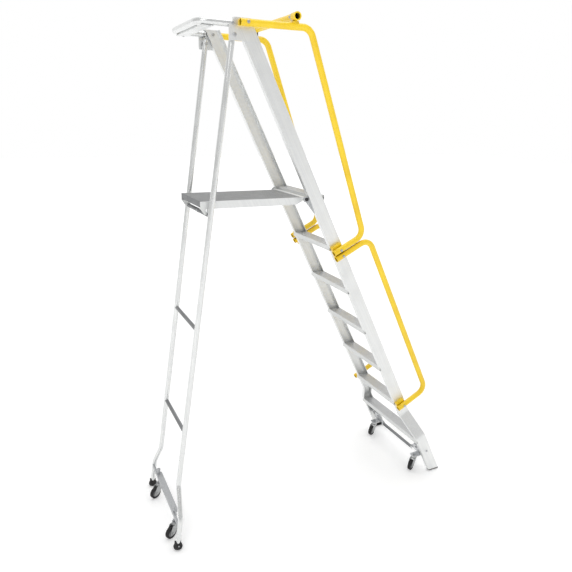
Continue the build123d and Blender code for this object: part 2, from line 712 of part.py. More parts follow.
# hangers bolted to the webs carry the shoulder bolts that guide the carrier
HANGER_PERP = CARRIER_PERP - CARRIER_WALL / 2 - 0.5
HANGER_LOW = 162.0
HANGER_HIGH = 236.0
HANGER_IN = 224.0
SPRING_X = 265.0
web_face = STILE_X_FOOT - STILE_WALL
hanger_mid = (HANGER_LOW + HANGER_HIGH) / 2
with BuildPart() as carrier_hangers:
    with BuildSketch(stile_plane(HANGER_PERP)):
        with Locations((-(web_face + HANGER_IN) / 2, hanger_mid)):
            RectangleRounded(web_face - HANGER_IN, HANGER_HIGH - HANGER_LOW, 2)
        for x, along in GUIDES:
            with Locations((-x, along)):
                Circle(BOLT_R, mode=Mode.SUBTRACT)
        with Locations((-SPRING_X, (PLATE_TOP + HANGER_HIGH - 6) / 2)):
            Rectangle(18, HANGER_HIGH - 6 - PLATE_TOP, mode=Mode.SUBTRACT)
    extrude(amount=3)
    with BuildSketch(stile_plane(HANGER_PERP - 3)):
        with Locations((-SPRING_X, HANGER_HIGH - 2)):
            Rectangle(26, 4)
    extrude(amount=-15)
    with BuildSketch(Plane(origin=(-web_face, *stile_yz(0, 0)), x_dir=PERP, z_dir=(-1, 0, 0))):
        with Locations((-2, -hanger_mid)):
            Rectangle(2 * HANGER_PERP + 3, HANGER_HIGH - HANGER_LOW)
    extrude(amount=-3)
    cross_holes(-web_face, [HANGER_BOLT])
    mirror(about=Plane.YZ)
write(carrier_hangers, "carrier_hangers")

with BuildPart() as guide_bolts:
    for x, along in GUIDES:
        with BuildSketch(stile_plane(HANGER_PERP)):
            with Locations((-x, along)):
                Circle(BOLT_R)
        extrude(amount=-(CARRIER_WALL + 2))
        with BuildSketch(stile_plane(HANGER_PERP + CARRIER_WALL + 1)):
            with Locations((-x, along)):
                Circle(9)
        extrude(amount=-5)
        with BuildSketch(stile_plane(HANGER_PERP - 3)):
            with Locations((-x, along)):
                Circle(9)
                Circle(BOLT_R, mode=Mode.SUBTRACT)
        extrude(amount=6)
        with BuildSketch(stile_plane(HANGER_PERP)):
            with Locations((-x, along)):
                Circle(BOLT_R)
        extrude(amount=9)
    mirror(about=Plane.YZ)
write(guide_bolts, "carrier_guide_bolts")


def coil_spring(origin, axis, length, mean_r, wire_r, turns):
    """Compression spring from its seat upwards along an axis."""
    with BuildPart() as coil:
        with BuildLine(Plane(origin=origin, z_dir=axis)) as path:
            Helix(pitch=(length - 2 * wire_r) / turns, height=length - 2 * wire_r, radius=mean_r)
        with BuildSketch(Plane(origin=path.line @ 0, z_dir=path.line % 0)):
            Circle(wire_r)
        sweep(is_frenet=True)
    return coil


# springs: round the rear stems, and above the front carrier's end plates
SEAT_Z = 98.0
SPRING_WIRE = 1.5
FRONT_WIRE = 1.1
boss_bottom = BAR_TOP - BOSS_DROP
for side, x in (("left", -STEM_X), ("right", STEM_X)):
    start = Vector(x, STEM_Y, SEAT_Z + SPRING_WIRE + 0.1)
    coil = coil_spring(start, (0, 0, 1), boss_bottom - SEAT_Z - 0.4, 9.0, SPRING_WIRE, 6)
    write(coil, f"rear_{side}_spring")
start = Vector(-SPRING_X, *stile_yz(PLATE_TOP + FRONT_WIRE + 0.2, CARRIER_PERP))
coil = coil_spring(start, U, HANGER_HIGH - 4 - PLATE_TOP - 0.4, 5.5, FRONT_WIRE, 5)
with BuildPart() as front_springs:
    add(coil.part)
    mirror(about=Plane.YZ)
write(front_springs, "front_springs")

# ---------------------------------------------------------------- gate
# A tube across the way in: its head is hinged on the right handrail, and the sleeve
# on its open end rests on a pad on the left one.
HEAD_LENGTH = 46.0
SLEEVE_R = 21.0
SLEEVE_OUT = 296.0              # open end of the sleeve, from the middle of the ladder
SLEEVE_LENGTH = 40.0
REST_GAP = 0.3
REST_LENGTH = 30.0
GATE_PIN_R = 5.0
bore_r = RAIL_R - RAIL_WALL
rail_core = tube_along(upper_points, 60, RAIL_R, RAIL_R - 1)
gate_axis = Plane(origin=(RAIL_X, GATE_Y, GATE_Z), x_dir=(1, 0, 0), z_dir=(0, -1, 0))

with BuildPart() as gate_tube:
    with BuildSketch(side_plane(-SLEEVE_OUT)):
        with Locations((GATE_Y, GATE_Z)):
            Circle(RAIL_R)
            Circle(bore_r, mode=Mode.SUBTRACT)
    extrude(amount=SLEEVE_OUT + RAIL_X)
    with Locations((RAIL_X, GATE_Y, GATE_Z)):
        Cylinder(RAIL_R, 2 * HEAD_LENGTH, rotation=(90, 0, 0), mode=Mode.SUBTRACT)
with BuildPart() as gate_bar:
    add(biggest(gate_tube))
    with BuildSketch(side_plane(-SLEEVE_OUT)):
        with Locations((GATE_Y, GATE_Z)):
            Circle(SLEEVE_R)
            Circle(bore_r, mode=Mode.SUBTRACT)
    extrude(amount=SLEEVE_LENGTH)
    with BuildSketch(gate_axis):
        Circle(RAIL_R)
        Circle(bore_r, mode=Mode.SUBTRACT)
    extrude(amount=HEAD_LENGTH / 2, both=True)
write(gate_bar, "gate_bar")

EAR = 4.0
EAR_GAP = 0.5
EAR_R = 13.0
ear_y = HEAD_LENGTH / 2 + EAR_GAP + EAR / 2
saddle_low = RAIL_TOP_Z + 6
rests = (                       # x, length along the rail, top
    (-RAIL_X, REST_LENGTH, GATE_Z - SLEEVE_R - REST_GAP),
    (RAIL_X, HEAD_LENGTH + 2 * (EAR + EAR_GAP), GATE_Z - RAIL_R - REST_GAP),
)
with BuildPart() as gate_rests:
    for x, length, top in rests:
        with BuildSketch(side_plane(x)):
            with Locations((GATE_Y, (saddle_low + top) / 2)):
                Rectangle(length, top - saddle_low)
        extrude(amount=EAR_R, both=True)
    for side in (-1, 1):
        with BuildSketch(gate_axis.offset(side * ear_y)):
            Circle(EAR_R)
            with Locations((0, (saddle_low - GATE_Z) / 2)):
                Rectangle(2 * EAR_R, GATE_Z - saddle_low)
            Circle(GATE_PIN_R, mode=Mode.SUBTRACT)
        extrude(amount=EAR / 2, both=True)
    add(rail_core.part, mode=Mode.SUBTRACT)
    mirror(rail_core.part, about=Plane.YZ, mode=Mode.SUBTRACT)
with BuildPart() as gate_saddles:
    add(biggest(gate_rests, 2))
write(gate_saddles, "gate_saddles")

pin_half = ear_y + EAR / 2
with BuildPart() as gate_hinge_pin:
    with BuildSketch(gate_axis):
        Circle(GATE_PIN_R)
    extrude(amount=pin_half, both=True)
    for side in (-1, 1):
        with BuildSketch(gate_axis.offset(side * pin_half)):
            RegularPolygon(8, 6)
        extrude(amount=side * 5)
write(gate_hinge_pin, "gate_hinge_pin")

BUSH_LENGTH = 10.0
BUSH_IN = 6.0
with BuildPart() as gate_bushes:
    for side in (-1, 1):
        with BuildSketch(gate_axis.offset(side * (HEAD_LENGTH / 2 - BUSH_IN))):
            Circle(bore_r)
            Circle(GATE_PIN_R + FIT, mode=Mode.SUBTRACT)
        extrude(amount=-side * BUSH_LENGTH)
write(gate_bushes, "gate_bushes")

# ---------------------------------------------------------------- casters
FORK_TOP = 84.0
FORK_CUP = 94.0
FORK_GAP = 14.0                 # half the space between the fork's legs
FORK_WALL = 3.0
AXLE_R = 5.0
TYRE_IN = 25.0
TYRE_HALF = 11.0


def caster(name, x, y, heading):
    """Swivel fork, tyre and hub: the wheel trails the stem towards the heading angle."""
    turn = radians(heading)
    forward = Vector(cos(turn), sin(turn), 0)
    side = Vector(-sin(turn), cos(turn), 0)
    stem = Vector(x, y, 0)

    def upright(offset):
        return Plane(origin=stem + side * offset, x_dir=forward, z_dir=-side)

    def level(z):
        return Plane(origin=stem + Vector(0, 0, z), x_dir=forward, z_dir=(0, 0, 1))

    with BuildPart() as fork:
        for offset in (-FORK_GAP - FORK_WALL / 2, FORK_GAP + FORK_WALL / 2):
            with BuildSketch(upright(offset)):
                with BuildLine():
                    Polyline(
                        (-18, FORK_TOP),
                        (30, FORK_TOP),
                        (CASTER_TRAIL + 17, CASTER_R + 8),
                        (CASTER_TRAIL + 13, CASTER_R - 10),
                        (CASTER_TRAIL - 12, CASTER_R - 12),
                        (-6, FORK_TOP - 26),
                        (-18, FORK_TOP - 8),
                        close=True,
                    )
                make_face()
                with Locations((CASTER_TRAIL, CASTER_R)):
                    Circle(11)
                    Circle(AXLE_R, mode=Mode.SUBTRACT)
            extrude(amount=FORK_WALL / 2, both=True)
        with BuildSketch(level(FORK_TOP - 4)):
            with Locations((2, 0)):
                RectangleRounded(40, 2 * (FORK_GAP + FORK_WALL), 4)
        extrude(amount=4)
        with BuildSketch(level(FORK_TOP)):
            Circle(21)
        extrude(amount=FORK_CUP - FORK_TOP, taper=12)
        with Locations((x, y, FORK_TOP)):
            Cylinder(STEM_R + FIT, 60, mode=Mode.SUBTRACT)
    with BuildPart() as axle:
        with BuildSketch(upright(0)):
            with Locations((CASTER_TRAIL, CASTER_R)):
                Circle(AXLE_R)
        extrude(amount=FORK_GAP + FORK_WALL, both=True)
        for end in (-1, 1):
            with BuildSketch(upright(end * (FORK_GAP + FORK_WALL))):
                with Locations((CASTER_TRAIL, CASTER_R)):
                    RegularPolygon(7.5, 6)
            extrude(amount=-end * 4)
    with BuildPart() as fork_and_axle:
        add(fork.part)
        add(axle.part)
    with BuildPart() as tyre:
        with BuildSketch(upright(0)):
            with Locations((CASTER_TRAIL, CASTER_R)):
                Circle(CASTER_R)
        extrude(amount=TYRE_HALF, both=True)
        fillet(tyre.edges().filter_by(GeomType.CIRCLE), radius=4)
        with BuildSketch(upright(0)):
            with Locations((CASTER_TRAIL, CASTER_R)):
                Circle(TYRE_IN)
        extrude(amount=TYRE_HALF, both=True, mode=Mode.SUBTRACT)
    with BuildPart() as hub:
        with BuildSketch(upright(0)):
            with Locations((CASTER_TRAIL, CASTER_R)):
                Circle(TYRE_IN)
                Circle(AXLE_R + FIT, mode=Mode.SUBTRACT)
        extrude(amount=TYRE_HALF - 2, both=True)
        with BuildSketch(upright(0)):
            with Locations((CASTER_TRAIL, CASTER_R)):
                Circle(9)
                Circle(AXLE_R + FIT, mode=Mode.SUBTRACT)
        extrude(amount=FORK_GAP - 0.5, both=True)
    write(fork_and_axle, f"{name}_fork")
    write(tyre, f"{name}_tyre")
    write(hub, f"{name}_hub")


HEADING = 117.0                 # all four wheels trail towards the rear, turned a little to the left
CASTERS = {
    "front_left_caster": (-FRONT_STEM_X, FRONT_STEM_Y),
    "front_right_caster": (FRONT_STEM_X, FRONT_STEM_Y),
    "rear_left_caster": (-STEM_X, STEM_Y),
    "rear_right_caster": (STEM_X, STEM_Y),
}
for name, (x, y) in CASTERS.items():
    caster(name, x, y, HEADING)

RETAINER_LOW = 75.8
RETAINER_TOP = FORK_TOP - 4.3
SEAT_LOW = FORK_CUP + 0.3


def stem_disc(low, high, radius, places):
    """Round disc of a caster stem at each place."""
    with Locations(*[(x, y, low) for x, y in places]):
        Cylinder(radius, high - low, align=(Align.CENTER, Align.CENTER, Align.MIN))


# front stems: fixed in the carrier's tabs by a nut
front_places = [(-FRONT_STEM_X, FRONT_STEM_Y), (FRONT_STEM_X, FRONT_STEM_Y)]
with BuildPart() as front_stems:
    stem_disc(RETAINER_LOW, TAB_Z + 12, STEM_R, front_places)
    stem_disc(RETAINER_LOW, RETAINER_TOP, 9, front_places)
    stem_disc(SEAT_LOW, TAB_Z, 18, front_places)
    stem_disc(TAB_Z + 4, TAB_Z + 11, 9.5, front_places)
write(front_stems, "front_caster_stems")

# rear stems: slide in the caster bar's sleeves and hang from their knobs
KNOB_TOP = 202.0
for side, x in (("left", -STEM_X), ("right", STEM_X)):
    place = [(x, STEM_Y)]
    with BuildPart() as stem:
        stem_disc(RETAINER_LOW, KNOB_TOP, STEM_R, place)
        stem_disc(RETAINER_LOW, RETAINER_TOP, 9, place)
        stem_disc(SEAT_LOW, SEAT_Z, 18, place)
        stem_disc(SLEEVE_TOP + 0.05, KNOB_TOP, 12, place)
        fillet(stem.edges().filter_by(GeomType.CIRCLE).sort_by(Axis.Z)[-1], radius=4)
    write(stem, f"rear_{side}_caster_stem")
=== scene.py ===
import json
from math import cos, pi, radians, sin, sqrt

import bmesh
import bpy
from mathutils import Matrix, Vector


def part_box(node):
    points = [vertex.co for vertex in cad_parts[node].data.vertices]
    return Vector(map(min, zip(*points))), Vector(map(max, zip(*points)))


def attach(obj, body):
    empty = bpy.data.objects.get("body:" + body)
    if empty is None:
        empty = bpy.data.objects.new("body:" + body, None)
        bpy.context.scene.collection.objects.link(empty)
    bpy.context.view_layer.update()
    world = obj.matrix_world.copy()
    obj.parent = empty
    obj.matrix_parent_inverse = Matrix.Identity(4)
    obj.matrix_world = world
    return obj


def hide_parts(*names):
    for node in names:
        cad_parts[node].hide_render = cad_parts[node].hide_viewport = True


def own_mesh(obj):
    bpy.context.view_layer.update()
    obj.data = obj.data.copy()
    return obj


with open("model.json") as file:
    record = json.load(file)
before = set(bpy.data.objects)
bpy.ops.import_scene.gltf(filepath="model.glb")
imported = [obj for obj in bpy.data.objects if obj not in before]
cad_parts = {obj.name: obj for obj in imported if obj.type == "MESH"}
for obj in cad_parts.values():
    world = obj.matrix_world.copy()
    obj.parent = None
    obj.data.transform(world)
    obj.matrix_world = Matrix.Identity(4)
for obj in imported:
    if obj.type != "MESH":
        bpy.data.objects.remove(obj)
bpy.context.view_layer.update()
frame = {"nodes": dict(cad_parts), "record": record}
nodes = frame["nodes"]

# ---------------------------------------------------------------- shader helpers
MIX_FIRST = 6                           # sockets of a Mix node that mixes colours
MIX_SECOND = 7
MIX_RESULT = 2
GAP_DARK = 0.12                         # openness at which the painted shade in a bore is full
GAP_BRIGHT = 0.45                       # and at which a surface is fully bright


class Shader:
    """A principled material with short calls for the noise, colour and bump that feed it."""

    def __init__(self, name, color, metallic, roughness):
        self.material = bpy.data.materials.new(name)
        self.material.use_nodes = True
        self.tree = self.material.node_tree
        self.surface = self.tree.nodes["Principled BSDF"]
        self.surface.inputs["Base Color"].default_value = (*color, 1)
        self.surface.inputs["Metallic"].default_value = metallic
        self.surface.inputs["Roughness"].default_value = roughness
        coordinates = self.tree.nodes.new("ShaderNodeTexCoord")
        self.position = coordinates.outputs["Object"]
        self.normal = coordinates.outputs["Normal"]

    def link(self, source, target):
        self.tree.links.new(source, target)

    def stretched(self, scale, turn=(0, 0, 0)):
        """Object coordinates turned and then scaled, so that noise can run as streaks."""
        turned = self.tree.nodes.new("ShaderNodeMapping")
        turned.inputs["Rotation"].default_value = turn
        self.link(self.position, turned.inputs["Vector"])
        scaled = self.tree.nodes.new("ShaderNodeMapping")
        scaled.inputs["Scale"].default_value = scale
        self.link(turned.outputs["Vector"], scaled.inputs["Vector"])
        return scaled.outputs["Vector"]

    def axis(self, vector, name):
        """One component of a vector, X, Y or Z."""
        node = self.tree.nodes.new("ShaderNodeSeparateXYZ")
        self.link(vector, node.inputs["Vector"])
        return node.outputs[name]

    def size_of(self, value):
        """A number without its sign."""
        node = self.tree.nodes.new("ShaderNodeMath")
        node.operation = "ABSOLUTE"
        self.link(value, node.inputs[0])
        return node.outputs["Value"]

    def noise(self, scale, detail=3, vector=None):
        node = self.tree.nodes.new("ShaderNodeTexNoise")
        node.inputs["Scale"].default_value = scale
        node.inputs["Detail"].default_value = detail
        self.link(vector or self.position, node.inputs["Vector"])
        return node.outputs["Fac"]

    def ramp(self, value, low, high, out_low, out_high):
        """Maps a value range to another, clamped."""
        node = self.tree.nodes.new("ShaderNodeMapRange")
        node.inputs["From Min"].default_value = low
        node.inputs["From Max"].default_value = high
        node.inputs["To Min"].default_value = out_low
        node.inputs["To Max"].default_value = out_high
        self.link(value, node.inputs["Value"])
        return node.outputs["Result"]

    def mix(self, factor, first, second):
        """Colour between two colours, each a tuple or an output."""
        node = self.tree.nodes.new("ShaderNodeMix")
        node.data_type = "RGBA"
        self.link(factor, node.inputs["Factor"])
        for index, value in ((MIX_FIRST, first), (MIX_SECOND, second)):
            if isinstance(value, tuple):
                node.inputs[index].default_value = (*value, 1)
            else:
                self.link(value, node.inputs[index])
        return node.outputs[MIX_RESULT]

    def open_to_light(self, reach):
        """1 on open surfaces, falling to 0 in bores and narrow gaps."""
        node = self.tree.nodes.new("ShaderNodeAmbientOcclusion")
        node.inputs["Distance"].default_value = reach
        return self.ramp(node.outputs["AO"], GAP_DARK, GAP_BRIGHT, 0, 1)

    def color(self, output):
        self.link(output, self.surface.inputs["Base Color"])

    def roughness(self, output):
        self.link(output, self.surface.inputs["Roughness"])

    def bump(self, height, strength, distance):
        node = self.tree.nodes.new("ShaderNodeBump")
        node.inputs["Strength"].default_value = strength
        node.inputs["Distance"].default_value = distance
        self.link(height, node.inputs["Height"])
        self.link(node.outputs["Normal"], self.surface.inputs["Normal"])


def aluminium(name, color, dark, roughness, streak, turn=(0, 0, 0), metallic=0.85):
    """Satin aluminium with extrusion streaks, faint smudges and uneven gloss."""
    s = Shader(name, color, metallic, roughness)
    streaks = s.noise(1, 4, s.stretched(streak, turn))
    smudges = s.noise(9, 4)
    fine = s.mix(s.ramp(streaks, 0.35, 0.65, 0, 1), dark, color)
    s.color(s.mix(s.ramp(smudges, 0.52, 0.75, 0, 0.35), fine, dark))
    s.roughness(s.ramp(smudges, 0.3, 0.75, roughness - 0.05, roughness + 0.12))
    s.bump(streaks, 0.07, 0.0003)
    return s.material


def tread_metal(name, light, dark):
    """Grooved tread: painted shade darkens the faces that look up, so the lips stay bright."""
    s = Shader(name, light, 0.7, 0.46)
    grooves = s.noise(1, 3, s.stretched((3, 340, 60)))
    # painted shade: faces that look up are drawn in the dark colour
    painted_top_shade = s.ramp(s.axis(s.normal, "Z"), 0.4, 0.85, 0, 1)
    base = s.mix(painted_top_shade, light, dark)
    scuffed = s.mix(s.ramp(s.noise(17, 4), 0.5, 0.78, 0, 0.45), base, light)
    s.color(s.mix(s.ramp(grooves, 0.4, 0.7, 0, 0.35), scuffed, dark))
    s.roughness(s.ramp(s.noise(12, 4), 0.3, 0.75, 0.4, 0.6))
    s.bump(grooves, 0.25, 0.0005)
    return s.material


def carrier_metal(name, plate, shaded_strip, edge):
    """Plated end plates and, between them, a strip drawn darker as painted shade; edge is where
    they meet.
    """
    s = Shader(name, plate, 0.75, 0.4)
    outwards = s.ramp(s.size_of(s.axis(s.position, "X")), edge, edge + 0.004, 0, 1)
    # painted shade: the strip between the end plates takes the dark colour
    base = s.mix(outwards, shaded_strip, plate)
    s.color(s.mix(s.ramp(s.noise(34, 4), 0.45, 0.75, 0, 0.3), base, shaded_strip))
    s.roughness(s.ramp(s.noise(90, 3), 0.3, 0.7, 0.34, 0.54))
    s.bump(s.noise(240, 3), 0.1, 0.0003)
    return s.material


GAP_REACH = 0.05                        # how far off a surface has to be clear to stay bright
PAINTED_BORE_SHADE = (0.02, 0.014, 0.004)       # painted shade deep inside a tube and in narrow gaps


def powder_coat(name, color, shade):
    """Semi-gloss powder coat: orange peel, slight fade, small rubbed spots, painted shade in bores
    and narrow gaps.
    """
    s = Shader(name, color, 0, 0.34)
    s.surface.inputs["Coat Weight"].default_value = 0.25
    s.surface.inputs["Coat Roughness"].default_value = 0.18
    fade = s.ramp(s.noise(7, 3), 0.4, 0.7, 0, 1)
    faded = s.mix(fade, color, shade)
    # painted shade: bores and narrow gaps, found by ambient occlusion, take the dark colour
    s.color(s.mix(s.open_to_light(GAP_REACH), PAINTED_BORE_SHADE, faded))
    peel = s.noise(420, 2)
    s.roughness(s.ramp(s.noise(26, 4), 0.35, 0.7, 0.28, 0.44))
    s.bump(peel, 0.18, 0.0004)
    return s.material


def rubber(name, color, dust):
    """Matt black rubber, dusty where it has been rubbed."""
    s = Shader(name, color, 0, 0.72)
    grain = s.noise(600, 2)
    s.color(s.mix(s.ramp(s.noise(34, 5), 0.5, 0.78, 0, 0.6), color, dust))
    s.roughness(s.ramp(grain, 0.3, 0.7, 0.6, 0.85))
    s.bump(grain, 0.3, 0.0003)
    return s.material


REST_SCUFF = (0.06, 0.05, 0.03)
REST_SPLIT = 0.01                       # the colour changes this near to the ladder's middle


def rest_metal(name, left, right):
    """One colour left of the ladder's middle and another right of it, faded and scuffed."""
    s = Shader(name, left, 0, 0.4)
    on_right = s.ramp(s.axis(s.position, "X"), -REST_SPLIT, REST_SPLIT, 0, 1)
    base = s.mix(on_right, left, right)
    s.color(s.mix(s.ramp(s.noise(40, 4), 0.5, 0.8, 0, 0.25), base, REST_SCUFF))
    s.roughness(s.ramp(s.noise(90, 3), 0.3, 0.7, 0.34, 0.5))
    s.bump(s.noise(420, 2), 0.18, 0.0004)
    return s.material


SPANGLE_SCALE = 160                     # zinc crystals in a metre


def plated(name, color, dark, roughness, metallic=0.9):
    """Zinc plate: cloudy spangle in colour and gloss."""
    s = Shader(name, color, metallic, roughness)
    cell = s.tree.nodes.new("ShaderNodeTexVoronoi")
    cell.inputs["Scale"].default_value = SPANGLE_SCALE
    s.link(s.position, cell.inputs["Vector"])
    spangle = s.mix(s.ramp(cell.outputs["Distance"], 0.1, 0.7, 0, 1), color, dark)
    s.color(s.mix(s.ramp(s.noise(30, 4), 0.5, 0.8, 0, 0.5), spangle, dark))
    s.roughness(s.ramp(s.noise(90, 3), 0.3, 0.7, roughness - 0.06, roughness + 0.14))
    s.bump(s.noise(240, 3), 0.1, 0.0003)
    return s.material


def plastic(name, color, light, roughness):
    """Moulded plastic with a fine spark-eroded grain."""
    s = Shader(name, color, 0, roughness)
    grain = s.noise(500, 3)
    s.color(s.mix(s.ramp(s.noise(24, 3), 0.45, 0.75, 0, 0.7), color, light))
    s.roughness(s.ramp(grain, 0.3, 0.7, roughness - 0.06, roughness + 0.1))
    s.bump(grain, 0.22, 0.0003)
    return s.material


def grit_deck(name, color, light):
    """Grey non-slip coating: coarse grit in colour and relief."""
    s = Shader(name, color, 0.15, 0.62)
    grit = s.noise(650, 4)
    s.color(s.mix(s.ramp(grit, 0.42, 0.68, 0, 1), color, light))
    s.roughness(s.ramp(s.noise(14, 4), 0.35, 0.7, 0.5, 0.75))
    s.bump(grit, 0.5, 0.0006)
    return s.material


LEAN = radians(26.84)                   # the stiles from the vertical
TURN_STILE = (LEAN, 0, 0)               # brings the length of a stile onto Z
STILE_STREAK = (160, 160, 2)
TUBE_STREAK = (240, 240, 3)
RUNG_STREAK = (3, 200, 200)
PLATE_EDGE = 0.170                      # the carrier's end plates start this far from the middle
materials = {
    "stile_aluminium": aluminium(
        "stile_aluminium", (0.83, 0.84, 0.83), (0.77, 0.78, 0.78), 0.42, STILE_STREAK, TURN_STILE
    ),
    "tread_aluminium": tread_metal("tread_aluminium", (0.72, 0.73, 0.72), (0.58, 0.585, 0.59)),
    "tube_aluminium": aluminium(
        "tube_aluminium", (0.80, 0.81, 0.80), (0.70, 0.71, 0.71), 0.24, TUBE_STREAK
    ),
    "yellow_paint": powder_coat("yellow_paint", (0.96, 0.68, 0.018), (0.88, 0.58, 0.012)),
    "deck_grey": grit_deck("deck_grey", (0.28, 0.285, 0.29), (0.42, 0.425, 0.43)),
    "zinc_steel": plated("zinc_steel", (0.62, 0.63, 0.64), (0.42, 0.43, 0.44), 0.34),
    "sheet_steel": plated("sheet_steel", (0.55, 0.56, 0.57), (0.44, 0.45, 0.46), 0.42, 0.7),
    "black_rubber": rubber("black_rubber", (0.012, 0.012, 0.013), (0.05, 0.048, 0.045)),
    "black_plastic": plastic("black_plastic", (0.016, 0.016, 0.017), (0.04, 0.04, 0.042), 0.45),
    "tyre": rubber("tyre", (0.010, 0.010, 0.011), (0.045, 0.043, 0.04)),
    "hub_plastic": plastic("hub_plastic", (0.22, 0.225, 0.23), (0.30, 0.30, 0.31), 0.45),
}

# every CAD node takes the material of its slot in the record
for part in frame["record"]["subparts"]:
    node = nodes[part["node"]]
    node.data.materials.clear()
    node.data.materials.append(materials[part["material_slot"]])

# a few nodes get a material of their own: the rungs and the support bar a darker copy of the
# aluminium as painted shade, the front carrier painted shade on its middle strip, the crossmembers
# a darker grit coat, the forks a darker plate, the gate saddles yellow on the left and black on
# the right, and the rear stems the zinc plate
# painted shade: a darker copy of the aluminium for the tubes that run across the ladder
shaded_cross_tube = aluminium("shaded_cross_tube", (0.30, 0.305, 0.31), (0.22, 0.225, 0.23), 0.5, RUNG_STREAK)
fork_metal = plated("fork_metal", (0.52, 0.53, 0.53), (0.38, 0.39, 0.39), 0.38, 0.6)
edge_metal = grit_deck("edge_metal", (0.17, 0.175, 0.18), (0.25, 0.255, 0.26))
carrier_steel = carrier_metal("carrier_steel", (0.72, 0.73, 0.74), (0.24, 0.245, 0.25), PLATE_EDGE)
gate_rest = rest_metal("gate_rest", (0.80, 0.56, 0.015), (0.018, 0.018, 0.019))
OWN_MATERIALS = {
    "rear_rungs": shaded_cross_tube,
    "platform_support_bar": shaded_cross_tube,
    "platform_crossmembers": edge_metal,
    "front_carrier": carrier_steel,
    "gate_saddles": gate_rest,
    "rear_left_caster_stem": materials["zinc_steel"],
    "rear_right_caster_stem": materials["zinc_steel"],
}
for name in nodes:
    if name.endswith("_caster_fork"):
        OWN_MATERIALS[name] = fork_metal
for name, material in OWN_MATERIALS.items():
    nodes[name].data.materials[0] = material

# small rounded edges catch the light on the sheet and machined parts
SMALL_EDGE = 0.0005
EDGES = {
    "left_stile": 0.0012,
    "right_stile": 0.0012,
    "gusset_plates": 0.0008,
    "platform_side_rails": 0.001,
}
SHARP = radians(50)                     # edges that turn more than this are rounded
for name, node in nodes.items():
    bevel = node.modifiers.new("edge", "BEVEL")
    bevel.width = EDGES.get(name, SMALL_EDGE)
    bevel.segments = 2
    bevel.limit_method = "ANGLE"
    bevel.angle_limit = SHARP
    bevel.harden_normals = True


# ---------------------------------------------------------------- welds and small fixings
def add_piece(name, bm, body, material):
    """Makes a shaded object of a mesh, which rides on a body."""
    bmesh.ops.recalc_face_normals(bm, faces=bm.faces)
    mesh = bpy.data.meshes.new(name)
    bm.to_mesh(mesh)
    bm.free()
    for face in mesh.polygons:
        face.use_smooth = True
    mesh.materials.append(material)
    piece = bpy.data.objects.new(name, mesh)
    bpy.context.collection.objects.link(piece)
    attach(piece, body)
    return piece


def angles_round(count):
    """Angles of one turn, in equal steps."""
    return [2 * pi * k / count for k in range(count)]


def loft(bm, rings, closed):
    """Skins rings of points, each as long as the last; closed joins the last ring to the first."""
    rows = [[bm.verts.new(point) for point in ring] for ring in rings]
    pairs = list(zip(rows, rows[1:]))
    if closed:
        pairs.append((rows[-1], rows[0]))
    for first, second in pairs:
        for k in range(len(first)):
            after = (k + 1) % len(first)
            bm.faces.new((first[k], first[after], second[after], second[k]))
    return rows


def lathe(name, place, toward, profile, body, material, sides=28, capped=True):
    """Turned piece: its profile is (radius, height) pairs, and its axis points along toward."""
    turn = Vector(toward).to_track_quat("Z", "Y").to_matrix()
    bm = bmesh.new()
    rings = []
    for radius, height in profile:
        ring = [Vector((radius * cos(a), radius * sin(a), height)) for a in angles_round(sides)]
        rings.append([Vector(place) + turn @ point for point in ring])
    rows = loft(bm, rings, closed=not capped)
    if capped:
        bm.faces.new(rows[-1])
    add_piece(name, bm, body, material)


LEG_R = 0.015
RUNG_R = 0.011
BEAD_R = 0.0019                         # weld bead round a rung's end
BEAD_STEPS = 112
BEAD_SIDES = 10
BEAD_RIPPLES = 22                       # overlapping puddles in one turn
BEAD_SWELL = 0.16                       # a puddle's share of the bead's radius
leg_x = LEG_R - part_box("rear_left_leg")[1][0]


def weld_bead(name, side, y, z):
    """Rippled bead on the curve where a rung meets its leg."""
    middle = []
    for angle in angles_round(BEAD_STEPS):
        across = RUNG_R * cos(angle)
        out = leg_x - sqrt(LEG_R ** 2 - across ** 2)
        middle.append(Vector((side * out, y + across, z + RUNG_R * sin(angle))))
    bm = bmesh.new()
    rings = []
    for k, point in enumerate(middle):
        along = (middle[(k + 1) % BEAD_STEPS] - middle[k - 1]).normalized()
        outward = (point - Vector((point.x, y, z))).normalized()
        sideways = along.cross(outward).normalized()
        radius = BEAD_R * (1 + BEAD_SWELL * sin(BEAD_RIPPLES * 2 * pi * k / BEAD_STEPS))
        bead = [outward * cos(a) + sideways * sin(a) for a in angles_round(BEAD_SIDES)]
        rings.append([point + radius * offset for offset in bead])
    loft(bm, rings, closed=True)
    add_piece(name, bm, "rear_frame", materials["tube_aluminium"])


support_low, support_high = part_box("platform_support_bar")
rung_low, rung_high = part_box("rear_rungs")
bead_places = {
    "support": ((support_low[1] + support_high[1]) / 2, (support_low[2] + support_high[2]) / 2),
    "upper_rung": (rung_low[1] + RUNG_R, rung_high[2] - RUNG_R),
    "lower_rung": (rung_high[1] - RUNG_R, rung_low[2] + RUNG_R),
}
for label, (y, z) in bead_places.items():
    for hand, side in (("left", -1), ("right", 1)):
        weld_bead(f"{label}_{hand}_weld", side, y, z)

zinc = materials["zinc_steel"]

# domed rivets on the outer sides of the rubber feet
RIVET = ((0.0045, -0.004), (0.0045, 0.0006), (0.0038, 0.0018), (0.0022, 0.0026), (0.0006, 0.0028))
RIVET_UP = 0.026                        # above the sole of the foot
FOOT_HALF = 0.027                       # widest radius of a foot
FOOT_AT_RIVET = 0.022                   # its radius at the rivet's height
foot_low, foot_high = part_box("rear_rubber_feet")
foot_y = (foot_low[1] + foot_high[1]) / 2
for hand, side in (("left", -1), ("right", 1)):
    x = side * (foot_high[0] - FOOT_HALF + FOOT_AT_RIVET)
    place = (x, foot_y, foot_low[2] + RIVET_UP)
    lathe(f"foot_{hand}_rivet", place, (side, 0, 0), RIVET, "rear_frame", zinc)

